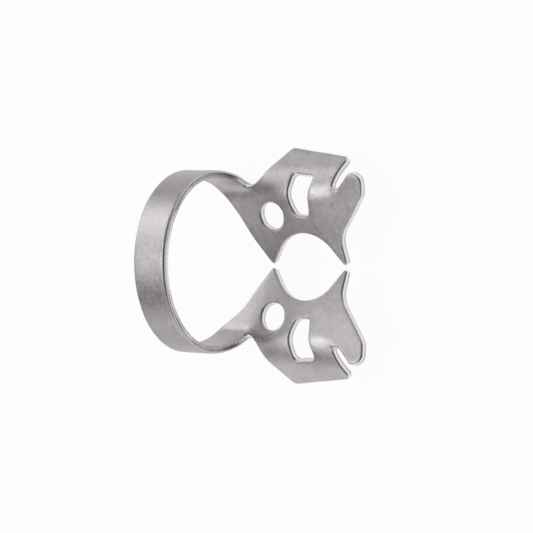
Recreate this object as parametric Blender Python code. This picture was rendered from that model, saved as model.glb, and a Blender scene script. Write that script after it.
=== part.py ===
"""Rubber dam clamp: one stamped and bent strip of spring steel.

The half sheet is drawn flat, meshed, bent into place and mirrored. Blank coordinates are p (towards the
front of the tooth) and q (from the middle line outwards, then along the strip to the top of the bow).
Dimensions are in millimetres and degrees; the finished mesh is in metres with +Z up.
"""
import math

import bmesh
import bpy
import numpy as np
from mathutils import Vector
from mathutils.geometry import delaunay_2d_cdt

MM = 0.001

# Sheet
THICKNESS = 0.8
EDGE_ROUND = 0.22
ROUND_STEPS = 2

# Bow, measured on the middle of the sheet
STRIP_WIDTH = 4.3
BOW_HALF_WIDTH = 8.8
CROWN_RISE = 6.95
LEG_RADIUS = 10.0
LEG_FOOT_SLOPE = 68.0
NECK_RADIUS = 2.2
STRIP_FRONT = -0.3
STRIP_REAR = STRIP_FRONT - STRIP_WIDTH

# Distance that the bow is bent to one side of the grip's middle, and where that begins on the jaw
BOW_SET = 0.55
SET_START_Q = 3.6
SET_END_Q = 7.6

# Jaws
JAW_SLOPE = 14.0
JAW_DROP = 6.0
DROP_ZONE = 1.6
NECK_FADE = 2.0
TIP_ROUND = 0.28
GRIP_CENTRE = (6.0, -0.45)
GRIP_RADIUS = 3.84
GRIP_START = 38.0
REAR_TIP = (1.55, 0.1)
FRONT_TIP = (10.85, -0.55)
SWEEP_CORNER = (10.7, 2.9)
SWEEP_ROUND = 3.0
BACK_KNEE = (-1.85, 5.0)
BACK_KNEE_ROUND = 5.0
SHOULDER_Q = 7.75
SHOULDER_ROUND = 2.5

# Notch between the wing and the front lobe
NOTCH_P = 10.7
NOTCH_Q = 8.3
NOTCH_ROUND = 0.36
NOTCH_HALF_WIDTH = 0.44
NOTCH_LEAN = 0.5
NOTCH_END_Q = NOTCH_Q - NOTCH_HALF_WIDTH

# Corners of the front lobe, each with its distances from the notch and its radius
LOBE_REAR = (2.1, 1.2, 0.8)
LOBE_OUTER = (3.75, 1.1, 1.0)
LOBE_FRONT = (3.4, -1.2, 1.5)

# Central wing, turned down beyond the ridge
WING_TURN = 48.0
RIDGE_RADIUS = 2.3
RIDGE_Q = 7.4
RIDGE_SLOPE = 0.5
WING_Q = 12.47
WING_TAPER = 1.35
WING_REAR = (4.1, WING_Q)
WING_REAR_ROUND = 0.8
WING_FRONT = (NOTCH_P + 1.05, WING_Q - WING_TAPER)
WING_FRONT_ROUND = 0.5
ROOT_CORNER_Q = 7.3
ROOT_ROUND = 0.45

# Openings in the jaw
HOLE_CENTRE = (2.5, 5.25)
HOLE_RADIUS = 1.38
SLOT_CORNERS = ((7.1, 5.25, 0.25), (5.6, 5.25, 0.9), (4.75, 7.2, 2.4), (5.4, 9.4, 0.5), (7.95, 9.1, 0.25))
SLOT_WAIST = (7.25, 7.3, 4.0)

# Mesh size, with closer rows over the bends
OUTLINE_STEP = 0.62
GRID_STEP = 0.85
GRID_CLEARANCE = 0.45
BEND_BAND = (6.8, 9.6)
BEND_STEP = 0.4
HOLE_SIDES = 28
ARC_STEP = 14.0
GRIP_ARC_STEP = 8.0
PROFILE_POINTS = 240

# End of the cut between strip and wing, its rise over the sharp corner given in root radii. Beyond it
# only the strip follows the bow.
CUT_RISE = 1.9
CUT_P = STRIP_FRONT + ROOT_ROUND
CUT_END_Q = ROOT_CORNER_Q + CUT_RISE * ROOT_ROUND
CUT_EASE = 0.5
TURN_SPREAD = 4.0
TURN_INTO_CUT = 0.25

# Widest tilt tried when the clamp is set down on its jaws
REST_SEARCH = 40.0
REST_STEP = 0.02

# Small distances and limits used in the working
NEAR = 0.01
TINY = 1e-6
WELD = 1e-4
STRAIGHT = math.radians(1)
MITRE_LIMIT = 0.6

SLOPE = math.radians(JAW_SLOPE)


def clear_scene():
    for item in list(bpy.data.objects):
        bpy.data.objects.remove(item, do_unlink=True)


def bow_profile():
    """Section of the bow from the jaw plane to one step past the crown: arc length, y and z."""
    foot = math.radians(LEG_FOOT_SLOPE)
    leg_y = BOW_HALF_WIDTH - LEG_RADIUS * (1 - math.sin(foot))
    leg_z = -LEG_RADIUS * math.cos(foot)
    start_y = leg_y - NECK_RADIUS * (math.sin(foot) - math.sin(SLOPE))
    start_z = leg_z - NECK_RADIUS * (math.cos(SLOPE) - math.cos(foot))
    neck = np.linspace(SLOPE, foot, PROFILE_POINTS // 4)
    leg = np.linspace(foot, math.pi / 2, PROFILE_POINTS // 4)[1:]
    arch = np.linspace(0, math.pi / 2, PROFILE_POINTS)[1:]
    arch = np.append(arch, math.pi / 2 + arch[0])
    y = np.concatenate([start_y + NECK_RADIUS * (np.sin(neck) - math.sin(SLOPE)),
                        BOW_HALF_WIDTH - LEG_RADIUS * (1 - np.sin(leg)),
                        BOW_HALF_WIDTH * np.cos(arch)])
    z = np.concatenate([start_z + NECK_RADIUS * (math.cos(SLOPE) - np.cos(neck)),
                        -LEG_RADIUS * np.cos(leg),
                        CROWN_RISE * np.sin(arch)])
    s = np.concatenate([[0.0], np.cumsum(np.hypot(np.diff(y), np.diff(z)))])
    return s, y, z


SECTION_S, SECTION_Y, SECTION_Z = bow_profile()
NECK_Q = SECTION_Y[0] / math.cos(SLOPE)
CROWN_Q = NECK_Q + SECTION_S[-2]


def ease(t):
    t = np.clip(t, 0.0, 1.0)
    return t * t * (3 - 2 * t)


def wing_share(p, q):
    """Share of the wing's turn, fading out below the ends of the two cuts that free the wing."""
    front_cut = NOTCH_P + NOTCH_LEAN * (q - NOTCH_END_Q)
    at_root = TURN_SPREAD * np.maximum(CUT_END_Q + TURN_INTO_CUT - q, TINY)
    at_notch = TURN_SPREAD * np.maximum(NOTCH_END_Q + TURN_INTO_CUT - q, TINY)
    return ease(0.5 + (p - CUT_P) / at_root) * ease(0.5 + (front_cut - p) / at_notch)


def turn_wing(p, q):
    """Central wing turned down about the ridge, which runs forwards from the foot of the strip."""
    lean = math.radians(RIDGE_SLOPE)
    out_p, out_q = -math.sin(lean), math.cos(lean)
    reach = (p - STRIP_FRONT) * out_p + (q - RIDGE_Q) * out_q
    reach = wing_share(p, q) * np.maximum(reach, 0.0)
    turn = math.radians(WING_TURN)
    angle = np.minimum(reach / RIDGE_RADIUS, turn)
    flat = np.maximum(reach - RIDGE_RADIUS * turn, 0.0)
    across = RIDGE_RADIUS * np.sin(angle) + flat * math.cos(turn) - reach
    down = RIDGE_RADIUS * (1 - np.cos(angle)) + flat * math.sin(turn)
    return p + across * out_p, q + across * out_q, -down


def drop_jaw(p, lift):
    """Jaw bent slightly down in front of the strip."""
    total = math.radians(JAW_DROP)
    radius = DROP_ZONE / total
    ahead = np.maximum(p - STRIP_FRONT, 0.0)
    angle = np.minimum(ahead / radius, total)
    flat = np.maximum(ahead - DROP_ZONE, 0.0)
    bent_p = STRIP_FRONT + radius * np.sin(angle) + flat * math.cos(total) + lift * np.sin(angle)
    bent_lift = lift * np.cos(angle) - radius * (1 - np.cos(angle)) - flat * math.sin(total)
    return np.where(p > STRIP_FRONT, bent_p, p), np.where(p > STRIP_FRONT, bent_lift, lift)


def level_off(q):
    """Distance along the blank that stops growing smoothly just past the end of the cut."""
    over = np.clip(q - CUT_END_Q, 0.0, 2 * CUT_EASE)
    return np.minimum(q, CUT_END_Q + 2 * CUT_EASE) - over * over / (4 * CUT_EASE)


def bend(p, q, side):
    """Blank point on the middle of the sheet to its place in space, the bow set to the given side."""
    jaw_p, jaw_q, lift = turn_wing(p, q)
    jaw_p, lift = drop_jaw(jaw_p, lift)
    y = jaw_q * math.cos(SLOPE) - lift * math.sin(SLOPE)
    z = SECTION_Z[0] + (jaw_q - NECK_Q) * math.sin(SLOPE) + lift * math.cos(SLOPE)
    run = np.maximum(np.where(p > CUT_P, level_off(q), q) - NECK_Q, 0.0)
    share = 1 - ease((p - STRIP_FRONT) / NECK_FADE)
    y = y + share * (np.interp(run, SECTION_S, SECTION_Y) - SECTION_Y[0] - run * math.cos(SLOPE))
    z = z + share * (np.interp(run, SECTION_S, SECTION_Z) - SECTION_Z[0] - run * math.sin(SLOPE))
    y = y + side * BOW_SET * share * ease((q - SET_START_Q) / (SET_END_Q - SET_START_Q))
    return np.stack([jaw_p, y, z], axis=-1)


def sheet_points(flat, height, side):
    """Blank points raised by a height along the sheet's own normal."""
    p, q = flat[:, 0], flat[:, 1]
    along_p = bend(p + NEAR, q, side) - bend(p - NEAR, q, side)
    along_q = bend(p, q + NEAR, side) - bend(p, q - NEAR, side)
    normal = np.cross(along_p, along_q)
    normal /= np.linalg.norm(normal, axis=1, keepdims=True)
    return bend(p, q, side) + normal * np.asarray(height).reshape(-1, 1)


def fillet(before, corner, after, radius):
    """Corner replaced by an arc of the given radius."""
    corner = np.array(corner, float)
    back = np.array(before, float) - corner
    ahead = np.array(after, float) - corner
    back /= np.linalg.norm(back)
    ahead /= np.linalg.norm(ahead)
    half = math.acos(max(-1.0, min(1.0, float(back @ ahead)))) / 2
    if radius <= 0 or half > math.pi / 2 - STRAIGHT:
        return [corner]
    centre = corner + (back + ahead) / np.linalg.norm(back + ahead) * radius / math.sin(half)
    start = corner + back * radius / math.tan(half) - centre
    end = corner + ahead * radius / math.tan(half) - centre
    first = math.atan2(start[1], start[0])
    sweep = (math.atan2(end[1], end[0]) - first + math.pi) % (2 * math.pi) - math.pi
    count = max(3, math.ceil(abs(math.degrees(sweep)) / ARC_STEP))
    angles = [first + sweep * i / count for i in range(count + 1)]
    return [centre + radius * np.array([math.cos(a), math.sin(a)]) for a in angles]


def rounded(corners, closed):
    """Corners given as (p, q, radius) turned into points, long runs divided."""
    points = []
    for i, (p, q, radius) in enumerate(corners):
        if not closed and i in (0, len(corners) - 1):
            points.append(np.array([p, q], float))
            continue
        before = corners[i - 1][:2]
        after = corners[(i + 1) % len(corners)][:2]
        points += fillet(before, (p, q), after, radius)
    divided = []
    for i, here in enumerate(points):
        divided.append(here)
        if i + 1 == len(points) and not closed:
            break
        nxt = points[(i + 1) % len(points)]
        pieces = max(1, math.ceil(np.linalg.norm(nxt - here) / OUTLINE_STEP))
        divided += [here + (nxt - here) * j / pieces for j in range(1, pieces)]
    return np.array(divided)


def grip_arc():
    """Concave gripping edge between the two tips, as corners without a radius."""
    centre_p, centre_q = GRIP_CENTRE
    low = math.radians(GRIP_START)
    count = math.ceil((180 - 2 * GRIP_START) / GRIP_ARC_STEP)
    angles = [low + (math.pi - 2 * low) * i / count for i in range(count + 1)]
    return [(centre_p + GRIP_RADIUS * math.cos(a), centre_q + GRIP_RADIUS * math.sin(a), 0.0) for a in angles]


def outline():
    """Edge of the half blank from the crown's front corner round the jaw to its rear corner."""
    lobe = [(NOTCH_P + p, NOTCH_Q + q, radius) for p, q, radius in (LOBE_REAR, LOBE_OUTER, LOBE_FRONT)]
    corners = [(STRIP_FRONT, CROWN_Q, 0.0),
               (STRIP_FRONT, ROOT_CORNER_Q, ROOT_ROUND),
               (*WING_REAR, WING_REAR_ROUND),
               (*WING_FRONT, WING_FRONT_ROUND),
               (NOTCH_P - NOTCH_HALF_WIDTH, NOTCH_END_Q, NOTCH_ROUND),
               (NOTCH_P + NOTCH_HALF_WIDTH, NOTCH_END_Q, NOTCH_ROUND),
               *lobe,
               (*SWEEP_CORNER, SWEEP_ROUND),
               (*FRONT_TIP, TIP_ROUND),
               *grip_arc(),
               (*REAR_TIP, TIP_ROUND),
               (*BACK_KNEE, BACK_KNEE_ROUND),
               (STRIP_REAR, SHOULDER_Q, SHOULDER_ROUND),
               (STRIP_REAR, CROWN_Q, 0.0)]
    return rounded(corners, closed=False)


def hole():
    turns = [2 * math.pi * i / HOLE_SIDES for i in range(HOLE_SIDES)]
    return np.array([(HOLE_CENTRE[0] + HOLE_RADIUS * math.cos(a), HOLE_CENTRE[1] + HOLE_RADIUS * math.sin(a))
                     for a in turns])


def slot():
    """Crescent slot, its rear side bulging and its front side slightly waisted."""
    return rounded([*SLOT_CORNERS, SLOT_WAIST], closed=True)


def signed_area(loop):
    p, q = loop[:, 0], loop[:, 1]
    return 0.5 * float(np.sum(p * np.roll(q, -1) - np.roll(p, -1) * q))


def inward(loop, closed, material_left):
    """Unit directions pointing from each edge point into the sheet."""
    if closed:
        ahead = np.roll(loop, -1, axis=0) - loop
        behind = loop - np.roll(loop, 1, axis=0)
    else:
        ahead = np.vstack([loop[1:] - loop[:-1], loop[-1:] - loop[-2:-1]])
        behind = np.vstack([loop[1:2] - loop[:1], loop[1:] - loop[:-1]])
    ahead /= np.linalg.norm(ahead, axis=1, keepdims=True)
    behind /= np.linalg.norm(behind, axis=1, keepdims=True)
    side = 1.0 if material_left else -1.0
    normal_a = np.stack([-ahead[:, 1], ahead[:, 0]], axis=1) * side
    normal_b = np.stack([-behind[:, 1], behind[:, 0]], axis=1) * side
    total = normal_a + normal_b
    return total / np.maximum(np.sum(total * normal_a, axis=1, keepdims=True), MITRE_LIMIT)


def edge_steps():
    """Inset from the edge and height for each step round the edge, top face to bottom face."""
    half = THICKNESS / 2
    turns = [math.pi / 2 * i / ROUND_STEPS for i in range(ROUND_STEPS + 1)]
    upper = [(EDGE_ROUND * (1 - math.sin(a)), half - EDGE_ROUND + EDGE_ROUND * math.cos(a)) for a in turns]
    return upper + [(inset, -height) for inset, height in reversed(upper)]


def grid_points(loops):
    """Regular points inside the sheet, kept clear of its edges."""
    edge = np.vstack(loops)
    start, stop = BEND_BAND
    rows = np.concatenate([np.arange(0.0, start, GRID_STEP), np.arange(start, stop, BEND_STEP),
                           np.arange(stop, CROWN_Q - GRID_CLEARANCE, GRID_STEP)])
    columns = np.arange(edge[:, 0].min(), edge[:, 0].max(), GRID_STEP)
    points = []
    for row, q in enumerate(rows):
        for p in columns + (row % 2) * GRID_STEP / 2:
            if np.min(np.hypot(edge[:, 0] - p, edge[:, 1] - q)) > GRID_CLEARANCE:
                points.append((p, q))
    return points


def contains(loop, p, q):
    """Even-odd test of one point against a closed loop."""
    p0, q0 = loop[:, 0], loop[:, 1]
    p1, q1 = np.roll(p0, -1), np.roll(q0, -1)
    crosses = (q0 > q) != (q1 > q)
    with np.errstate(divide="ignore", invalid="ignore"):
        at = (p1 - p0) * (q - q0) / (q1 - q0) + p0
    return bool(np.count_nonzero(crosses & (p < at)) % 2)


def triangulate(outer, holes):
    """Flat triangles between the outer loop and the holes, with grid points in between."""
    loops = [outer, *holes]
    inner = [pt for pt in grid_points(loops)
             if contains(outer, *pt) and not any(contains(h, *pt) for h in holes)]
    points = [tuple(pt) for loop in loops for pt in loop] + inner
    edges, start = [], 0
    for loop in loops:
        edges += [(start + i, start + (i + 1) % len(loop)) for i in range(len(loop))]
        start += len(loop)
    flat, _, faces, origin, _, _ = delaunay_2d_cdt([Vector(pt) for pt in points], edges, [], 0, TINY)
    order = {new: old[0] for new, old in enumerate(origin) if old}
    kept = []
    for face in faces:
        middle = sum((Vector(flat[i]) for i in face), Vector((0.0, 0.0))) / 3
        if contains(outer, *middle) and not any(contains(h, *middle) for h in holes):
            kept.append([order[i] for i in face])
    return np.array(points), kept


def half_shell(side):
    """Vertices and faces of one half, open at the crown; side says which way the bow is set from it."""
    rims = [(outline(), False), (hole(), True), (slot(), True)]
    steps = edge_steps()
    columns, insets, lefts = [], [], []
    for i, (rim, closed) in enumerate(rims):
        whole = rim if closed else np.vstack([rim, rim[:1]])
        left = (signed_area(whole) > 0) == (i == 0)
        into = inward(rim, closed, left)
        if not closed:
            into[0] = (-1.0, 0.0)
            into[-1] = (1.0, 0.0)
        columns.append([(rim + into * inset, height) for inset, height in steps])
        insets.append(rim + into * EDGE_ROUND)
        lefts.append(left)
    rear, front = insets[0][-1], insets[0][0]
    pieces = math.ceil(STRIP_WIDTH / GRID_STEP)
    seam = np.array([rear + (front - rear) * j / pieces for j in range(1, pieces)])
    flat, faces = triangulate(np.vstack([insets[0], seam]), insets[1:])
    half = THICKNESS / 2
    vertices = [sheet_points(flat, np.full(len(flat), level), side) for level in (half, -half)]
    count = len(flat)
    polygons = [tuple(f) for f in faces] + [tuple(count + i for i in reversed(f)) for f in faces]
    total, rim_start = 2 * count, 0
    for (rim, closed), column, left in zip(rims, columns, lefts):
        size = len(rim)
        rings = [[rim_start + i for i in range(size)]]
        for points, height in column[1:-1]:
            vertices.append(sheet_points(points, np.full(size, height), side))
            rings.append([total + i for i in range(size)])
            total += size
        rings.append([count + rim_start + i for i in range(size)])
        last = size if closed else size - 1
        for upper, lower in zip(rings, rings[1:]):
            for i in range(last):
                j = (i + 1) % size
                here, there = (i, j) if left else (j, i)
                polygons.append((upper[here], lower[here], lower[there]))
                polygons.append((upper[here], lower[there], upper[there]))
        rim_start += size if closed else size + len(seam)
    return np.vstack(vertices), polygons


def lay_down(points, triangles):
    """Turn about the side axis so the clamp stands on its jaws as it would come to rest."""
    corner = points[triangles]
    volume = np.einsum("ij,ij->i", corner[:, 0], np.cross(corner[:, 1], corner[:, 2]))
    middle = (corner.sum(axis=1) * volume[:, None]).sum(axis=0) / (4 * volume.sum())
    flat = points[:, [0, 2]]
    best = None
    for tilt in np.radians(np.arange(-REST_SEARCH, REST_SEARCH, REST_STEP)):
        height = float(np.min(flat @ np.array([-math.sin(tilt), math.cos(tilt)])))
        rise = float(middle[[0, 2]] @ np.array([-math.sin(tilt), math.cos(tilt)])) - height
        if best is None or rise < best[0]:
            best = (rise, tilt, height)
    _, tilt, height = best
    turned = np.stack([points[:, 0] * math.cos(tilt) + points[:, 2] * math.sin(tilt), points[:, 1],
                       points[:, 2] * math.cos(tilt) - points[:, 0] * math.sin(tilt) - height], axis=1)
    turned[:, 0] -= (turned[:, 0].min() + turned[:, 0].max()) / 2
    return turned


def steel():
    material = bpy.data.materials.new("spring_steel")
    material.use_nodes = True
    shader = material.node_tree.nodes["Principled BSDF"]
    shader.inputs["Base Color"].default_value = (0.56, 0.55, 0.54, 1.0)
    shader.inputs["Metallic"].default_value = 1.0
    shader.inputs["Roughness"].default_value = 0.34
    return material


def build():
    clear_scene()
    points, polygons = half_shell(1.0)
    mirrored = half_shell(-1.0)[0] * np.array([1.0, -1.0, 1.0])
    size = len(points)
    faces = polygons + [tuple(size + i for i in reversed(f)) for f in polygons]
    points = lay_down(np.vstack([points, mirrored]), np.array(faces)) * MM
    mesh = bpy.data.meshes.new("clamp")
    shape = bmesh.new()
    corners = [shape.verts.new(pt) for pt in points]
    for face in faces:
        shape.faces.new([corners[i] for i in face])
    bmesh.ops.remove_doubles(shape, verts=shape.verts, dist=WELD * MM)
    bmesh.ops.recalc_face_normals(shape, faces=shape.faces)
    for face in shape.faces:
        face.smooth = True
    shape.to_mesh(mesh)
    shape.free()
    mesh.materials.append(steel())
    clamp = bpy.data.objects.new("clamp", mesh)
    bpy.context.scene.collection.objects.link(clamp)


build()
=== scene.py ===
"""Rubber dam clamp on a white table: the bent sheet drawn finely, its tumbled steel, the light and camera.

Blank coordinates are p (towards the front of the tooth) and q (from the middle line outwards, then along
the strip to the top of the bow). Sizes are in millimetres and angles in degrees; the finished mesh is in
metres in the row frame, which is the frame's own.
"""

import math

import bmesh
import bpy
import numpy as np
from mathutils import Matrix, Vector
from mathutils.geometry import delaunay_2d_cdt

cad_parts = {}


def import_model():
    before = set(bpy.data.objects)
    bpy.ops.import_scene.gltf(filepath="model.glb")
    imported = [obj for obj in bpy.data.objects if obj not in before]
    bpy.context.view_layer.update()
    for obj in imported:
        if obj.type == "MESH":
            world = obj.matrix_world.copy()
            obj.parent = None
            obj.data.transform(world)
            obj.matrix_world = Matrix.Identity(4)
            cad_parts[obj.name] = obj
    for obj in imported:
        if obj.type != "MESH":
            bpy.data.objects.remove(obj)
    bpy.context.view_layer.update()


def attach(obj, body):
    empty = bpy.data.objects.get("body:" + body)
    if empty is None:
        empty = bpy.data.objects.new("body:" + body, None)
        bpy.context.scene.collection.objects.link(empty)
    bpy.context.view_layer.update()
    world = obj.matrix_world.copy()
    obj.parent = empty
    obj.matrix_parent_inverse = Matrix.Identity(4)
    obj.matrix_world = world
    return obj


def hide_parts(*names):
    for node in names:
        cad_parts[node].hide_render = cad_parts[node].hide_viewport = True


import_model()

MM = 0.001

# Sheet, the rounding of its edges, and the slight bulge of their walls between the roundings
THICKNESS = 0.8
EDGE_ROUND = 0.25
ROUND_STEPS = 6
WALL_BULGE = 0.012
WALL_LEVELS = (0.6, 0.2, -0.2, -0.6)

# Slight waves along the edges, and how they fade towards the crown
EDGE_WAVE = 0.018
WAVE_COUNTS = range(4, 40, 3)
OPEN_WAVE_SHARE = 0.97
WAVE_FADE = 2.0
WAVE_SEED = 1.7

# Bow
STRIP_WIDTH = 4.3
BOW_HALF_WIDTH = 8.8
CROWN_RISE = 6.95
LEG_RADIUS = 10.0
LEG_FOOT_SLOPE = 68.0
NECK_RADIUS = 2.2
STRIP_FRONT = -0.3
STRIP_REAR = STRIP_FRONT - STRIP_WIDTH

# Distance that the bow is bent to one side, and where that begins and is full
BOW_SET = 0.55
SET_START_Q = 3.6
SET_END_Q = 7.6

# Jaws
JAW_SLOPE = 14.0
JAW_DROP = 6.0
DROP_ZONE = 1.6
ARCH_SLOPE = 0.095
ARCH_START_Q = -1.0
ARCH_Q = 9.0
NECK_FADE = 2.0
TIP_ROUND = 0.28
GRIP_CENTRE = (6.0, -0.45)
GRIP_RADIUS = 3.84
GRIP_START = 38.0
REAR_TIP = (1.55, 0.1)
FRONT_TIP = (10.85, -0.55)
SWEEP_CORNER = (10.7, 2.9)
SWEEP_ROUND = 3.0
BACK_KNEE = (-1.85, 5.0)
BACK_KNEE_ROUND = 5.0
SHOULDER_Q = 7.75
SHOULDER_ROUND = 2.5

# Notch between the wing and the front lobe
NOTCH_P = 10.7
NOTCH_Q = 8.3
NOTCH_ROUND = 0.36
NOTCH_HALF_WIDTH = 0.44
NOTCH_LEAN = 0.5
NOTCH_END_Q = NOTCH_Q - NOTCH_HALF_WIDTH

# Corners of the front lobe, each with its distances from the notch and its radius
LOBE_REAR = (2.1, 1.2, 0.8)
LOBE_OUTER = (3.75, 1.1, 1.0)
LOBE_FRONT = (3.4, -1.2, 1.5)

# Central wing, turned down beyond the ridge
WING_TURN = 48.0
RIDGE_RADIUS = 4.2
RIDGE_Q = 6.55
RIDGE_SLOPE = 0.5
WING_Q = 12.47
WING_TAPER = 1.35
WING_REAR = (4.1, WING_Q)
WING_REAR_ROUND = 0.8
WING_REACH = 1.05
WING_FRONT = (NOTCH_P + WING_REACH, WING_Q - WING_TAPER)
WING_FRONT_ROUND = 0.5
ROOT_CORNER_Q = 7.3
ROOT_ROUND = 0.45

# End of the cut between strip and wing, and how the wing's turn fades out below the cuts
CUT_RISE = 1.9
CUT_P = STRIP_FRONT + ROOT_ROUND
CUT_END_Q = ROOT_CORNER_Q + CUT_RISE * ROOT_ROUND
CUT_EASE = 0.5
TURN_SPREAD = 4.0
TURN_INTO_CUT = 0.25

# Openings: the forceps hole, and the crescent slot's corners with their radii
HOLE_CENTRE = (2.5, 5.25)
HOLE_RADIUS = 1.38
SLOT_CORNERS = ((7.1, 5.25, 0.25), (5.6, 5.25, 0.9), (4.75, 7.2, 2.4), (5.4, 9.4, 0.5), (7.95, 9.1, 0.25))
SLOT_WAIST = (7.25, 7.3, 4.0)

# Mesh size
OUTLINE_STEP = 0.16
GRID_STEP = 0.27
GRID_ROW_STEP = GRID_STEP * 0.87
GRID_CLEARANCE = 0.17
HOLE_SIDES = 72
ARC_STEP = 7.0
ARC_LEAST_STEPS = 3
GRIP_ARC_STEP = 2.5
BEND_POINTS = 180
ARCH_POINTS = 1440
SECTION_STEP = 0.01
SECTION_EASE = 1.0
SECTION_PAST_CROWN = 0.5

# Limits of the calculation, a nearly straight corner's in radians
NORMAL_STEP = 0.01
LEAST_WIDTH = 1e-6
NEARLY_STRAIGHT = 0.02
MITRE_LIMIT = 0.6
FLAT_MERGE = 1e-7
SEAM_MERGE = 1e-4
BATCH = 4000

# How the bow frame lies in the row frame
REST_TILT = -18.50
REST_LIFT = 6.2217
REST_SHIFT = -4.4092

# Camera in the bow frame: its direction, distance and film, the photo's width and the pixel of the bow
# frame's origin, pixels to a millimetre, and near and far limits in metres
VIEW_TURN = 44.0
VIEW_RISE = 2.8
VIEW_ROLL = -0.5
VIEW_DISTANCE = 350.0
IMAGE_SIZE = 533.0
IMAGE_SCALE = 10.0
IMAGE_ORIGIN = (218.0, 267.8)
SENSOR = 36.0
CLIP_NEAR = 0.01
CLIP_FAR = 10.0

# Noise patterns in the steel, each with its size, detail and roughness, and the values that count in them
CLOUD = (3.1, 3.0, 0.55)
UNEVEN = (1.6, 2.0, 0.55)
MOTTLE = (0.55, 4.0, 0.6)
TEAR = (0.2, 3.0, 0.55)
TEAR_SCALE = (1.0, 1.0, 0.35)
GRAIN = (0.14, 3.0, 0.6)
SPECK = (0.07, 1.0, 0.55)
NOISE_LOW = 0.3
NOISE_HIGH = 0.7

# Tone of the steel: how much each pattern changes it, where an edge counts as rim, how much mottling stays
# on a rim, and how much brighter the lower and upper sides of its wall are. Rims are brighter partly from
# polish and partly as a painted highlight, and the painted highlight makes the upper side of a wall brighter
CLOUD_SWING = 0.05
MOTTLE_SWING = 0.05
GRAIN_SWING = 0.10
SPECK_SWING = 0.05
RIM_START = 0.55
RIM_FULL = 0.98
RIM_MOTTLING = 0.55
LOWER_DEPTH = -0.2
UPPER_DEPTH = 0.3
LOWER_POLISH_AND_SHEEN = 0.18
UPPER_POLISH_AND_SHEEN = 0.42
FACE_SHADE = 0.5
DARK_SHADE = 0.25
DARK_STEEL = (0.272, 0.254, 0.25, 1)
SATIN_SHADE = 0.70
SATIN_STEEL = (0.59, 0.56, 0.553, 1)
# Top of the tone ramp, reached on rims: partly polish, partly a painted highlight
BRIGHT_SHADE = 1.0
BRIGHT_STEEL = (0.96, 0.945, 0.94, 1)

# Surface of the steel: its roughness, and its relief with each pattern's share
SMOOTHEST = 0.31
ROUGHEST = 0.39
CLOUD_ROUGHNESS = 0.03
RIM_POLISH = -0.1
FINE_RELIEF = 0.008
GRAIN_SHARE = 0.7
SPECK_SHARE = 0.3
TEAR_SHARE = 0.5
UNEVEN_RELIEF = 0.03

# Table: its own colour, its glow for the camera and in reflections, and where reflections of it dim with
# painted shade
TABLE_HALF = 1500.0
TABLE_GREY = (0.9, 0.9, 0.9, 1)
WHITE = (1, 1, 1, 1)
GLOW_SHARE = 0.95
SHADED_GLOW = 0.70
SHADE_END_X = -30.0
SHADE_START_X = -4.0

# Tent of light all round, and its patches: direction in the row frame, angles from it where the change
# starts and is full, and how much brighter or darker the tent is there. Names are sides of the photo
TENT_LEVEL = 0.83
DARK_ROUND_CAMERA = ((0.43, 0.05, 0.90), 60, 22, -0.72)
DARK_LOWER_LEFT = ((-0.78, -0.56, 0.31), 24, 5, -0.68)
BRIGHT_BOTTOM = ((-0.54, -0.82, 0.20), 30, 8, 0.70)
BRIGHT_UPPER_LEFT = ((-0.86, 0.47, 0.18), 22, 3, 0.70)
BRIGHT_LEFT = ((-0.72, 0.0, 0.69), 20, 4, 0.24)
DARK_TOP = ((-0.58, 0.80, 0.13), 24, 5, -0.40)
TENT_PATCHES = (DARK_ROUND_CAMERA, DARK_LOWER_LEFT, BRIGHT_BOTTOM, BRIGHT_UPPER_LEFT, BRIGHT_LEFT, DARK_TOP)

# Lamps: direction in the row frame, diameter, power in watts and colour
LAMP_DISTANCE = 500.0
KEY_LAMP = ((-0.86, 0.48, 0.17), 300.0, 0.145, (0.93, 1.0, 1.07))
TOP_LAMP = ((-0.69, 0.0, 0.72), 170.0, 0.225, (0.96, 1.0, 1.04))

SLOPE = math.radians(JAW_SLOPE)


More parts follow.
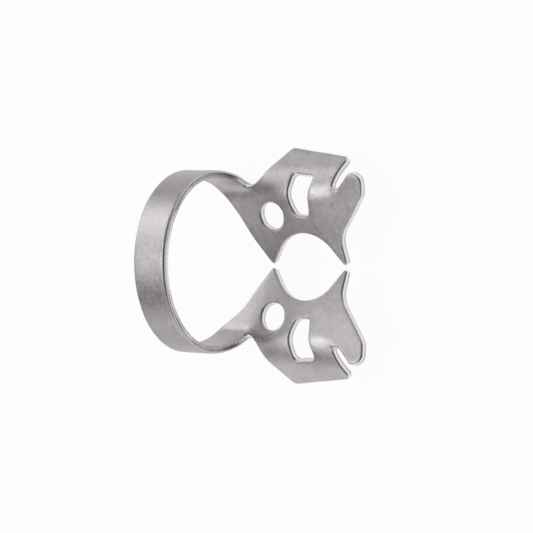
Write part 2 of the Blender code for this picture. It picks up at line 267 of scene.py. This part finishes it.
def bow_profile():
    """Section of the bow from its jaw to a little past the crown: run along it, y, z and the crown's run.

    A straight lead out of the jaw, the neck, the leg and the elliptical arch follow one another. A weighted
    average over SECTION_EASE to both sides then makes them flow into each other.
    """
    foot = math.radians(LEG_FOOT_SLOPE)
    lead = np.linspace(-SECTION_EASE, 0.0, BEND_POINTS)[:-1]
    leg_y = BOW_HALF_WIDTH - LEG_RADIUS * (1 - math.sin(foot))
    leg_z = -LEG_RADIUS * math.cos(foot)
    start_y = leg_y - NECK_RADIUS * (math.sin(foot) - math.sin(SLOPE))
    start_z = leg_z - NECK_RADIUS * (math.cos(SLOPE) - math.cos(foot))
    neck = np.linspace(SLOPE, foot, BEND_POINTS)
    leg = np.linspace(foot, math.pi / 2, BEND_POINTS)[1:]
    arch = np.linspace(0, math.pi, ARCH_POINTS)[1:]
    y = np.concatenate([start_y + lead * math.cos(SLOPE),
                        start_y + NECK_RADIUS * (np.sin(neck) - math.sin(SLOPE)),
                        BOW_HALF_WIDTH - LEG_RADIUS * (1 - np.sin(leg)),
                        BOW_HALF_WIDTH * np.cos(arch)])
    z = np.concatenate([start_z + lead * math.sin(SLOPE),
                        start_z + NECK_RADIUS * (math.cos(SLOPE) - np.cos(neck)),
                        -LEG_RADIUS * np.cos(leg),
                        CROWN_RISE * np.sin(arch)])
    s = np.concatenate([[0.0], np.cumsum(np.hypot(np.diff(y), np.diff(z)))])
    crown = float(np.interp(0.0, -y, s))
    run = np.arange(0.0, crown + SECTION_PAST_CROWN, SECTION_STEP)
    before = np.arange(-SECTION_EASE, -SECTION_STEP / 2, SECTION_STEP)
    beyond = run[-1] + SECTION_STEP + np.arange(len(before)) * SECTION_STEP
    around = np.concatenate([before, run, beyond])
    level_y = np.where(around < 0, y[0] + around * math.cos(SLOPE), np.interp(around, s, y))
    level_z = np.where(around < 0, z[0] + around * math.sin(SLOPE), np.interp(around, s, z))
    window = np.hanning(2 * round(SECTION_EASE / SECTION_STEP) + 1)
    window /= window.sum()
    return run, np.convolve(level_y, window, "valid"), np.convolve(level_z, window, "valid"), crown


# The section starts at the lead, and NECK_Q and CROWN_Q are where its start and the crown lie on the blank
SECTION_S, SECTION_Y, SECTION_Z, CROWN_S = bow_profile()
NECK_Q = SECTION_Y[0] / math.cos(SLOPE)
CROWN_Q = NECK_Q + CROWN_S


def ease(t):
    """Smooth rise from 0 to 1 as t goes from 0 to 1."""
    t = np.clip(t, 0.0, 1.0)
    return t * t * (3 - 2 * t)


def wing_share(p, q):
    """Share of the wing's turn, fading out below the ends of the two cuts that free the wing."""
    front_cut = NOTCH_P + NOTCH_LEAN * (q - NOTCH_END_Q)
    at_root = TURN_SPREAD * np.maximum(CUT_END_Q + TURN_INTO_CUT - q, LEAST_WIDTH)
    at_notch = TURN_SPREAD * np.maximum(NOTCH_END_Q + TURN_INTO_CUT - q, LEAST_WIDTH)
    return ease(0.5 + (p - CUT_P) / at_root) * ease(0.5 + (front_cut - p) / at_notch)


def turn_wing(p, q):
    """Bend the wing down round the ridge: where a point then lies on the jaw's plane, and its lift off it."""
    lean = math.radians(RIDGE_SLOPE)
    out_p, out_q = -math.sin(lean), math.cos(lean)
    reach = (p - STRIP_FRONT) * out_p + (q - RIDGE_Q) * out_q
    reach = wing_share(p, q) * np.maximum(reach, 0.0)
    turn = math.radians(WING_TURN)
    angle = np.minimum(reach / RIDGE_RADIUS, turn)
    flat = np.maximum(reach - RIDGE_RADIUS * turn, 0.0)
    across = RIDGE_RADIUS * np.sin(angle) + flat * math.cos(turn) - reach
    down = RIDGE_RADIUS * (1 - np.cos(angle)) + flat * math.sin(turn)
    return p + across * out_p, q + across * out_q, -down


def drop_jaw(p, lift):
    """Bend the jaw slightly down in front of the strip."""
    total = math.radians(JAW_DROP)
    radius = DROP_ZONE / total
    ahead = np.maximum(p - STRIP_FRONT, 0.0)
    angle = np.minimum(ahead / radius, total)
    flat = np.maximum(ahead - DROP_ZONE, 0.0)
    bent_p = STRIP_FRONT + radius * np.sin(angle) + flat * math.cos(total) + lift * np.sin(angle)
    bent_lift = lift * np.cos(angle) - radius * (1 - np.cos(angle)) - flat * math.sin(total)
    return np.where(p > STRIP_FRONT, bent_p, p), np.where(p > STRIP_FRONT, bent_lift, lift)


def jaw_arch(q):
    """Lift of the slightly arched jaw between its tips, where it is steepest, and the wing."""
    inner = np.clip(q, ARCH_START_Q, ARCH_Q)
    return ARCH_SLOPE * inner * (1 - inner / ARCH_Q) ** 2


def level_off(q):
    """q levelled off just beyond the end of the cut, so that the wing doesn't follow the bow up."""
    over = np.clip(q - CUT_END_Q, 0.0, 2 * CUT_EASE)
    return np.minimum(q, CUT_END_Q + 2 * CUT_EASE) - over * over / (4 * CUT_EASE)


def bend(p, q, side):
    """Blank point on the middle of the sheet to its place in the bow frame, the bow set to side 1 or -1."""
    jaw_p, jaw_q, lift = turn_wing(p, q)
    jaw_p, lift = drop_jaw(jaw_p, lift + jaw_arch(q))
    y = jaw_q * math.cos(SLOPE) - lift * math.sin(SLOPE)
    z = SECTION_Z[0] + (jaw_q - NECK_Q) * math.sin(SLOPE) + lift * math.cos(SLOPE)
    run = np.maximum(np.where(p > CUT_P, level_off(q), q) - NECK_Q, 0.0)
    share = 1 - ease((p - STRIP_FRONT) / NECK_FADE)
    y = y + share * (np.interp(run, SECTION_S, SECTION_Y) - SECTION_Y[0] - run * math.cos(SLOPE))
    z = z + share * (np.interp(run, SECTION_S, SECTION_Z) - SECTION_Z[0] - run * math.sin(SLOPE))
    y = y + side * BOW_SET * share * ease((q - SET_START_Q) / (SET_END_Q - SET_START_Q))
    return np.stack([jaw_p, y, z], axis=-1)


def sheet_points(flat, height, side):
    """Blank points at a height over the middle of the sheet to their places in the bow frame."""
    p, q = flat[:, 0], flat[:, 1]
    along_p = bend(p + NORMAL_STEP, q, side) - bend(p - NORMAL_STEP, q, side)
    along_q = bend(p, q + NORMAL_STEP, side) - bend(p, q - NORMAL_STEP, side)
    normal = np.cross(along_p, along_q)
    normal /= np.linalg.norm(normal, axis=1, keepdims=True)
    return bend(p, q, side) + normal * np.asarray(height).reshape(-1, 1)


def fillet(before, corner, after, radius):
    """Points of the arc that rounds a corner."""
    corner = np.array(corner, float)
    back = np.array(before, float) - corner
    ahead = np.array(after, float) - corner
    back /= np.linalg.norm(back)
    ahead /= np.linalg.norm(ahead)
    half = math.acos(max(-1.0, min(1.0, float(back @ ahead)))) / 2
    if radius <= 0 or half > math.pi / 2 - NEARLY_STRAIGHT:
        return [corner]
    centre = corner + (back + ahead) / np.linalg.norm(back + ahead) * radius / math.sin(half)
    start = corner + back * radius / math.tan(half) - centre
    end = corner + ahead * radius / math.tan(half) - centre
    first = math.atan2(start[1], start[0])
    sweep = (math.atan2(end[1], end[0]) - first + math.pi) % (2 * math.pi) - math.pi
    steps = max(abs(math.degrees(sweep)) / ARC_STEP, abs(sweep) * radius / OUTLINE_STEP)
    count = max(ARC_LEAST_STEPS, math.ceil(steps))
    angles = [first + sweep * i / count for i in range(count + 1)]
    return [centre + radius * np.array([math.cos(a), math.sin(a)]) for a in angles]


def rounded(corners, closed):
    """Line through corners (p, q, radius) with every corner rounded and long stretches divided."""
    points = []
    for i, (p, q, radius) in enumerate(corners):
        if not closed and i in (0, len(corners) - 1):
            points.append(np.array([p, q], float))
            continue
        before = corners[i - 1][:2]
        after = corners[(i + 1) % len(corners)][:2]
        points += fillet(before, (p, q), after, radius)
    divided = []
    for i, here in enumerate(points):
        divided.append(here)
        if i + 1 == len(points) and not closed:
            break
        following = points[(i + 1) % len(points)]
        pieces = max(1, math.ceil(np.linalg.norm(following - here) / OUTLINE_STEP))
        divided += [here + (following - here) * j / pieces for j in range(1, pieces)]
    return np.array(divided)


def arc_corners(centre, radius, angles):
    """Corners without rounding along an arc."""
    return [(centre[0] + radius * math.cos(a), centre[1] + radius * math.sin(a), 0.0) for a in angles]


def grip_arc():
    """Concave edge that grips the tooth, from the front prong to the rear one."""
    low = math.radians(GRIP_START)
    count = math.ceil((180 - 2 * GRIP_START) / GRIP_ARC_STEP)
    angles = [low + (math.pi - 2 * low) * i / count for i in range(count + 1)]
    return arc_corners(GRIP_CENTRE, GRIP_RADIUS, angles)


def outline():
    """Edge of the half blank: down the front of the strip, round the jaw and up the rear of the strip."""
    lobe = [(NOTCH_P + p, NOTCH_Q + q, radius) for p, q, radius in (LOBE_REAR, LOBE_OUTER, LOBE_FRONT)]
    corners = [(STRIP_FRONT, CROWN_Q, 0.0),
               (STRIP_FRONT, ROOT_CORNER_Q, ROOT_ROUND),
               (*WING_REAR, WING_REAR_ROUND),
               (*WING_FRONT, WING_FRONT_ROUND),
               (NOTCH_P - NOTCH_HALF_WIDTH, NOTCH_END_Q, NOTCH_ROUND),
               (NOTCH_P + NOTCH_HALF_WIDTH, NOTCH_END_Q, NOTCH_ROUND),
               *lobe,
               (*SWEEP_CORNER, SWEEP_ROUND),
               (*FRONT_TIP, TIP_ROUND),
               *grip_arc(),
               (*REAR_TIP, TIP_ROUND),
               (*BACK_KNEE, BACK_KNEE_ROUND),
               (STRIP_REAR, SHOULDER_Q, SHOULDER_ROUND),
               (STRIP_REAR, CROWN_Q, 0.0)]
    return rounded(corners, closed=False)


def hole():
    """Forceps hole."""
    angles = [2 * math.pi * i / HOLE_SIDES for i in range(HOLE_SIDES)]
    return np.array(arc_corners(HOLE_CENTRE, HOLE_RADIUS, angles))[:, :2]


def slot():
    """Crescent slot."""
    return rounded([*SLOT_CORNERS, SLOT_WAIST], closed=True)


def signed_area(loop):
    """Area inside a loop, above zero where it runs counter-clockwise."""
    p, q = loop[:, 0], loop[:, 1]
    return 0.5 * float(np.sum(p * np.roll(q, -1) - np.roll(p, -1) * q))


def inward(loop, closed, material_left):
    """Directions from the points of an edge into the sheet, longer at corners as a mitre is."""
    if closed:
        ahead = np.roll(loop, -1, axis=0) - loop
        behind = loop - np.roll(loop, 1, axis=0)
    else:
        ahead = np.vstack([loop[1:] - loop[:-1], loop[-1:] - loop[-2:-1]])
        behind = np.vstack([loop[1:2] - loop[:1], loop[1:] - loop[:-1]])
    ahead /= np.linalg.norm(ahead, axis=1, keepdims=True)
    behind /= np.linalg.norm(behind, axis=1, keepdims=True)
    side = 1.0 if material_left else -1.0
    normal_a = np.stack([-ahead[:, 1], ahead[:, 0]], axis=1) * side
    normal_b = np.stack([-behind[:, 1], behind[:, 0]], axis=1) * side
    total = normal_a + normal_b
    return total / np.maximum(np.sum(total * normal_a, axis=1, keepdims=True), MITRE_LIMIT)


def edge_steps():
    """Inset, height and share of edge for each step round the edge, from the top face to the bottom one."""
    half = THICKNESS / 2
    turns = [math.pi / 2 * i / ROUND_STEPS for i in range(ROUND_STEPS + 1)]
    upper = [(EDGE_ROUND * (1 - math.sin(a)), half - EDGE_ROUND + EDGE_ROUND * math.cos(a), math.sin(a))
             for a in turns]
    wall = half - EDGE_ROUND
    middle = [(WALL_BULGE * (1 - abs(level)), level * wall, 1.0) for level in WALL_LEVELS]
    return upper + middle + [(inset, -height, share) for inset, height, share in reversed(upper)]


def edge_wave(rim, closed, seed):
    """Slight unevenness of a cut edge that was finished in a tumbler, along the rim."""
    steps = np.linalg.norm(np.roll(rim, -1, axis=0) - rim, axis=1)
    run = np.concatenate([[0.0], np.cumsum(steps)[:-1]])
    total = steps.sum() if closed else run[-1]
    wave = np.zeros(len(rim))
    for count in WAVE_COUNTS:
        turns = count if closed else count * OPEN_WAVE_SHARE
        wave += np.sin(2 * math.pi * turns * run / total + seed * count * count) / math.sqrt(count)
    fade = np.ones(len(rim)) if closed else np.clip(np.minimum(run, total - run) / WAVE_FADE, 0, 1)
    return wave * EDGE_WAVE * fade


def grid_points(loops):
    """Staggered rows of points over the blank, clear of its edges."""
    edge = np.vstack(loops)
    rows = np.arange(0.0, CROWN_Q - GRID_CLEARANCE, GRID_ROW_STEP)
    columns = np.arange(edge[:, 0].min(), edge[:, 0].max(), GRID_STEP)
    points = []
    for row, q in enumerate(rows):
        near = edge[np.abs(edge[:, 1] - q) < GRID_CLEARANCE]
        for p in columns + (row % 2) * GRID_STEP / 2:
            if not len(near) or np.min(np.hypot(near[:, 0] - p, near[:, 1] - q)) > GRID_CLEARANCE:
                points.append((p, q))
    return np.array(points)


def contains(loop, points):
    """Even-odd test of many points against a closed loop."""
    p0, q0 = loop[:, 0], loop[:, 1]
    p1, q1 = np.roll(p0, -1), np.roll(q0, -1)
    inside = np.zeros(len(points), bool)
    with np.errstate(divide="ignore", invalid="ignore"):
        for start in range(0, len(points), BATCH):
            p, q = points[start:start + BATCH, 0:1], points[start:start + BATCH, 1:2]
            crosses = ((q0 > q) != (q1 > q)) & (p < (p1 - p0) * (q - q0) / (q1 - q0) + p0)
            inside[start:start + BATCH] = np.count_nonzero(crosses, axis=1) % 2 == 1
    return inside


def in_sheet(outer, holes, points):
    """Whether points lie inside the outer loop and in none of the holes."""
    keep = contains(outer, points)
    for void in holes:
        keep &= ~contains(void, points)
    return keep


def triangulate(outer, holes):
    """Points and triangles of a flat face with holes, the loops' own points first."""
    loops = [outer, *holes]
    inner = grid_points(loops)
    inner = inner[in_sheet(outer, holes, inner)]
    points = np.vstack([*loops, inner])
    edges, start = [], 0
    for loop in loops:
        edges += [(start + i, start + (i + 1) % len(loop)) for i in range(len(loop))]
        start += len(loop)
    _, _, faces, origin, _, _ = delaunay_2d_cdt([Vector(point) for point in points], edges, [], 0, FLAT_MERGE)
    order = {new: old[0] for new, old in enumerate(origin) if old}
    corners = np.array([[order[i] for i in face] for face in faces])
    middle = points[corners].mean(axis=1)
    return points, corners[in_sheet(outer, holes, middle)].tolist()


def wavy_rim(rim, closed, seed):
    """A rim with its waves, its directions into the sheet, and whether the sheet lies to its left.

    The outline is the open rim, and the openings are the closed ones.
    """
    whole = rim if closed else np.vstack([rim, rim[:1]])
    left = (signed_area(whole) > 0) != closed
    into = inward(rim, closed, left)
    if not closed:
        into[0] = (-1.0, 0.0)
        into[-1] = (1.0, 0.0)
    return rim + into * edge_wave(rim, closed, seed)[:, None], into, left


def wall_polygons(rings, closed, left):
    """Four-sided faces between rings of vertices that follow each other round an edge, top face first."""
    size = len(rings[0])
    polygons = []
    for upper, lower in zip(rings, rings[1:]):
        for i in range(size if closed else size - 1):
            j = (i + 1) % size
            here, there = (i, j) if left else (j, i)
            polygons.append((upper[here], lower[here], lower[there], upper[there]))
    return polygons


def half_shell(side):
    """Vertices, faces and marks of one half, open at the crown; side is the way its bow is set.

    A vertex's marks are its share of edge and its depth, from 1 on the top face to -1 on the bottom face.
    """
    rims, insets = [], []
    for i, (rim, closed) in enumerate(((outline(), False), (hole(), True), (slot(), True))):
        rim, into, left = wavy_rim(rim, closed, WAVE_SEED + i)
        rims.append((rim, closed, into, left))
        insets.append(rim + into * EDGE_ROUND)
    rear, front = insets[0][-1], insets[0][0]
    pieces = math.ceil(STRIP_WIDTH / GRID_STEP)
    seam = np.array([rear + (front - rear) * j / pieces for j in range(1, pieces)])
    flat, faces = triangulate(np.vstack([insets[0], seam]), insets[1:])
    half = THICKNESS / 2
    count = len(flat)
    vertices = [sheet_points(flat, np.full(count, level), side) for level in (half, -half)]
    marks = [np.stack([np.zeros(2 * count), np.repeat([1.0, -1.0], count)], axis=1)]
    polygons = [tuple(face) for face in faces] + [tuple(count + i for i in reversed(face)) for face in faces]
    total, rim_start = 2 * count, 0
    for rim, closed, into, left in rims:
        size = len(rim)
        rings = [[rim_start + i for i in range(size)]]
        for inset, height, share in edge_steps()[1:-1]:
            vertices.append(sheet_points(rim + into * inset, np.full(size, height), side))
            marks.append(np.tile([share, height / half], (size, 1)))
            rings.append([total + i for i in range(size)])
            total += size
        rings.append([count + rim_start + i for i in range(size)])
        polygons += wall_polygons(rings, closed, left)
        rim_start += size if closed else size + len(seam)
    return np.vstack(vertices), polygons, np.vstack(marks)


def to_row(points):
    """Bow frame in millimetres to the row frame in metres."""
    tilt = math.radians(REST_TILT)
    x = points[..., 0] * math.cos(tilt) + points[..., 2] * math.sin(tilt) + REST_SHIFT
    z = points[..., 2] * math.cos(tilt) - points[..., 0] * math.sin(tilt) + REST_LIFT
    return np.stack([x, points[..., 1], z], axis=-1) * MM


def turn_to_row(direction):
    """Direction in the bow frame to the row frame."""
    tilt = math.radians(REST_TILT)
    x, y, z = direction
    return Vector((x * math.cos(tilt) + z * math.sin(tilt), y, z * math.cos(tilt) - x * math.sin(tilt)))


def clamp_mesh():
    """The clamp from its two halves, joined at the crown, with the marks that its steel reads."""
    points, polygons, marks = half_shell(1.0)
    mirrored = half_shell(-1.0)[0] * np.array([1.0, -1.0, 1.0])
    size = len(points)
    faces = polygons + [tuple(size + i for i in reversed(polygon)) for polygon in polygons]
    points = to_row(np.vstack([points, mirrored]))
    marks = np.vstack([marks, marks])
    shape = bmesh.new()
    edge = shape.verts.layers.float.new("edge")
    depth = shape.verts.layers.float.new("depth")
    corners = []
    for point, mark in zip(points, marks):
        corner = shape.verts.new(point)
        corner[edge], corner[depth] = mark
        corners.append(corner)
    for face in faces:
        shape.faces.new([corners[i] for i in face])
    bmesh.ops.remove_doubles(shape, verts=shape.verts, dist=SEAM_MERGE * MM)
    bmesh.ops.recalc_face_normals(shape, faces=shape.faces)
    for face in shape.faces:
        face.smooth = True
    mesh = bpy.data.meshes.new("clamp_steel")
    shape.to_mesh(mesh)
    shape.free()
    clamp = bpy.data.objects.new("clamp_steel", mesh)
    bpy.context.scene.collection.objects.link(clamp)
    return clamp


class Graph:
    """Short way to write a node tree."""

    def __init__(self, tree):
        self.tree = tree

    def add(self, kind, inputs=(), **settings):
        """A node with its settings, and with a value or a link at each input that is named."""
        node = self.tree.nodes.new(kind)
        for key, value in settings.items():
            setattr(node, key, value)
        for key, value in dict(inputs).items():
            if isinstance(value, bpy.types.NodeSocket):
                self.tree.links.new(value, node.inputs[key])
            else:
                node.inputs[key].default_value = value
        return node

    def noise(self, where, size, detail, roughness):
        """Noise pattern of a size in millimetres."""
        inputs = {"Vector": where, "Scale": 1 / (size * MM), "Detail": detail, "Roughness": roughness}
        return self.add("ShaderNodeTexNoise", inputs).outputs["Fac"]

    def spread(self, value, low, high, to_low, to_high):
        """A value between low and high, moved and stretched to lie between two others."""
        inputs = {"Value": value, "From Min": low, "From Max": high, "To Min": to_low, "To Max": to_high}
        return self.add("ShaderNodeMapRange", inputs).outputs["Result"]

    def swing(self, noise, amount):
        """Noise as a change of the given amount to both sides of zero."""
        return self.spread(noise, NOISE_LOW, NOISE_HIGH, -amount, amount)

    def maths(self, operation, a, b):
        """Result of an operation on two values or links."""
        return self.add("ShaderNodeMath", {0: a, 1: b}, operation=operation).outputs[0]

    def total(self, *values):
        """Sum of values and links."""
        result = values[0]
        for value in values[1:]:
            result = self.maths("ADD", result, value)
        return result

    def bump(self, relief, height, below=None):
        """Relief of a height in millimetres, on top of another one where that is given."""
        inputs = {"Strength": 1.0, "Distance": height * MM, "Height": relief}
        if below is not None:
            inputs["Normal"] = below
        return self.add("ShaderNodeBump", inputs).outputs["Normal"]

    def facing(self, way, direction, start, full, amount):
        """Light that rises smoothly as the way comes within an angle of a direction."""
        dot = self.add("ShaderNodeVectorMath", {0: way, 1: Vector(direction).normalized()},
                       operation="DOT_PRODUCT").outputs["Value"]
        inputs = {"Value": dot, "From Min": math.cos(math.radians(start)),
                  "From Max": math.cos(math.radians(full)), "To Min": 0.0, "To Max": amount}
        rise = self.add("ShaderNodeMapRange", inputs, interpolation_type="SMOOTHSTEP")
        return rise.outputs["Result"]


def steel():
    """Tumbled spring steel: satin faces with fine mottling; rounded edges and sheared walls brighter with
    polish and painted highlight.
    """
    material = bpy.data.materials.new("tumbled_steel")
    material.use_nodes = True
    graph = Graph(material.node_tree)
    shader = material.node_tree.nodes["Principled BSDF"]
    where = graph.add("ShaderNodeTexCoord").outputs["Object"]
    edge = graph.add("ShaderNodeAttribute", attribute_name="edge").outputs["Fac"]
    depth = graph.add("ShaderNodeAttribute", attribute_name="depth").outputs["Fac"]
    cloud = graph.noise(where, *CLOUD)
    mottle = graph.noise(where, *MOTTLE)
    grain = graph.noise(where, *GRAIN)
    specks = graph.noise(where, *SPECK)

    rim = graph.spread(edge, RIM_START, RIM_FULL, 0.0, 1.0)
    mottling = graph.total(graph.swing(cloud, CLOUD_SWING), graph.swing(mottle, MOTTLE_SWING),
                           graph.swing(grain, GRAIN_SWING), graph.swing(specks, SPECK_SWING))
    mottling = graph.maths("MULTIPLY", mottling, graph.spread(rim, 0.0, 1.0, 1.0, RIM_MOTTLING))
    # Rims painted brighter: partly polish of the tumbled edge, partly a painted highlight, stronger on a
    # wall's upper side
    brighter = graph.spread(depth, LOWER_DEPTH, UPPER_DEPTH, LOWER_POLISH_AND_SHEEN, UPPER_POLISH_AND_SHEEN)
    shade = graph.total(mottling, FACE_SHADE, graph.maths("MULTIPLY", rim, brighter))
    tone = graph.add("ShaderNodeValToRGB", {"Fac": shade})
    dark, satin = tone.color_ramp.elements
    dark.position = DARK_SHADE
    dark.color = DARK_STEEL
    satin.position = SATIN_SHADE
    satin.color = SATIN_STEEL
    bright = tone.color_ramp.elements.new(BRIGHT_SHADE)
    bright.color = BRIGHT_STEEL
    rough = graph.total(graph.spread(mottle, NOISE_LOW, NOISE_HIGH, SMOOTHEST, ROUGHEST),
                        graph.swing(cloud, CLOUD_ROUGHNESS), graph.maths("MULTIPLY", rim, RIM_POLISH))

    tears = graph.add("ShaderNodeMapping", {"Vector": where, "Scale": TEAR_SCALE}).outputs["Vector"]
    shear = graph.maths("MULTIPLY", graph.noise(tears, *TEAR), rim)
    relief = graph.total(graph.maths("MULTIPLY", grain, GRAIN_SHARE),
                         graph.maths("MULTIPLY", specks, SPECK_SHARE),
                         graph.maths("MULTIPLY", shear, TEAR_SHARE))
    fine = graph.bump(relief, FINE_RELIEF)
    normal = graph.bump(graph.noise(where, *UNEVEN), UNEVEN_RELIEF, below=fine)
    graph.tree.links.new(tone.outputs["Color"], shader.inputs["Base Color"])
    graph.tree.links.new(rough, shader.inputs["Roughness"])
    graph.tree.links.new(normal, shader.inputs["Normal"])
    shader.inputs["Metallic"].default_value = 1.0
    return material


def table_white():
    """Matte white that glows evenly for the camera and, with painted shade on the bow's side, in reflections.

    The small share that stays matte there keeps the clamp's shadow.
    """
    material = bpy.data.materials.new("white_table")
    material.use_nodes = True
    graph = Graph(material.node_tree)
    for node in list(material.node_tree.nodes):
        material.node_tree.nodes.remove(node)
    matte = graph.add("ShaderNodeBsdfDiffuse", {"Color": TABLE_GREY}).outputs[0]
    rays = graph.add("ShaderNodeLightPath").outputs
    where = graph.add("ShaderNodeTexCoord").outputs["Object"]
    across = graph.add("ShaderNodeSeparateXYZ", {0: where}).outputs["X"]
    # Painted shade: the glow that reflections see is dimmed towards the bow's side
    mirrored = graph.spread(across, SHADE_END_X * MM, SHADE_START_X * MM, SHADED_GLOW, 1.0)
    strength = graph.maths("MAXIMUM", rays["Is Camera Ray"], mirrored)
    glow = graph.add("ShaderNodeEmission", {"Color": WHITE, "Strength": strength}).outputs[0]
    seen = graph.maths("MAXIMUM", rays["Is Camera Ray"], rays["Is Glossy Ray"])
    share = graph.maths("MULTIPLY", seen, GLOW_SHARE)
    mix = graph.add("ShaderNodeMixShader", {0: share, 1: matte, 2: glow}).outputs[0]
    graph.add("ShaderNodeOutputMaterial", {"Surface": mix})
    return material


def floor():
    """Table that the clamp lies on."""
    half = TABLE_HALF * MM
    mesh = bpy.data.meshes.new("floor")
    mesh.from_pydata([(-half, -half, 0), (half, -half, 0), (half, half, 0), (-half, half, 0)], [], [range(4)])
    mesh.materials.append(table_white())
    plane = bpy.data.objects.new("floor", mesh)
    bpy.context.scene.collection.objects.link(plane)


def lamp(name, direction, size, power, colour):
    """Round soft lamp aimed at the clamp."""
    light = bpy.data.lights.new(name, "AREA")
    light.shape = "DISK"
    light.size = size * MM
    light.energy = power
    light.color = colour
    item = bpy.data.objects.new(name, light)
    bpy.context.scene.collection.objects.link(item)
    item.location = Vector(direction).normalized() * LAMP_DISTANCE * MM
    item.rotation_euler = Vector(direction).to_track_quat("Z", "Y").to_euler()


def world():
    """Pale tent: dark where the camera looks in, with bright and dark patches beside the clamp."""
    sky = bpy.data.worlds.new("studio")
    bpy.context.scene.world = sky
    sky.use_nodes = True
    graph = Graph(sky.node_tree)
    way = graph.add("ShaderNodeTexCoord").outputs["Generated"]
    level = graph.total(*(graph.facing(way, *patch) for patch in TENT_PATCHES), TENT_LEVEL)
    back = sky.node_tree.nodes["Background"]
    graph.tree.links.new(level, back.inputs["Strength"])
    back.inputs["Color"].default_value = WHITE


def camera():
    """Camera of the photo, given in the bow frame and turned to the row frame."""
    turn, rise, roll = (math.radians(angle) for angle in (VIEW_TURN, VIEW_RISE, VIEW_ROLL))
    towards = Vector((math.sin(turn) * math.cos(rise), math.sin(rise), math.cos(turn) * math.cos(rise)))
    right = Vector((math.cos(turn), 0, -math.sin(turn)))
    up = towards.cross(right)
    across = right * math.cos(roll) + up * math.sin(roll)
    above = -right * math.sin(roll) + up * math.cos(roll)
    move_right = (IMAGE_SIZE / 2 - IMAGE_ORIGIN[0]) / IMAGE_SCALE
    move_up = (IMAGE_ORIGIN[1] - IMAGE_SIZE / 2) / IMAGE_SCALE
    place = towards * VIEW_DISTANCE + across * move_right + above * move_up
    data = bpy.data.cameras.new("camera")
    data.sensor_width = SENSOR
    data.lens = SENSOR * VIEW_DISTANCE * IMAGE_SCALE / IMAGE_SIZE
    data.clip_start = CLIP_NEAR
    data.clip_end = CLIP_FAR
    item = bpy.data.objects.new("camera", data)
    bpy.context.scene.collection.objects.link(item)
    matrix = Matrix([turn_to_row(axis) for axis in (across, above, towards)]).transposed().to_4x4()
    matrix.translation = Vector(to_row(np.array(place)))
    item.matrix_world = matrix
    bpy.context.scene.camera = item


def main():
    bpy.context.scene.view_settings.view_transform = "Standard"
    clamp = clamp_mesh()
    clamp.data.materials.append(steel())
    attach(clamp, "root")
    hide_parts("clamp")
    floor()
    world()
    lamp("key", *KEY_LAMP)
    lamp("top", *TOP_LAMP)
    camera()


main()
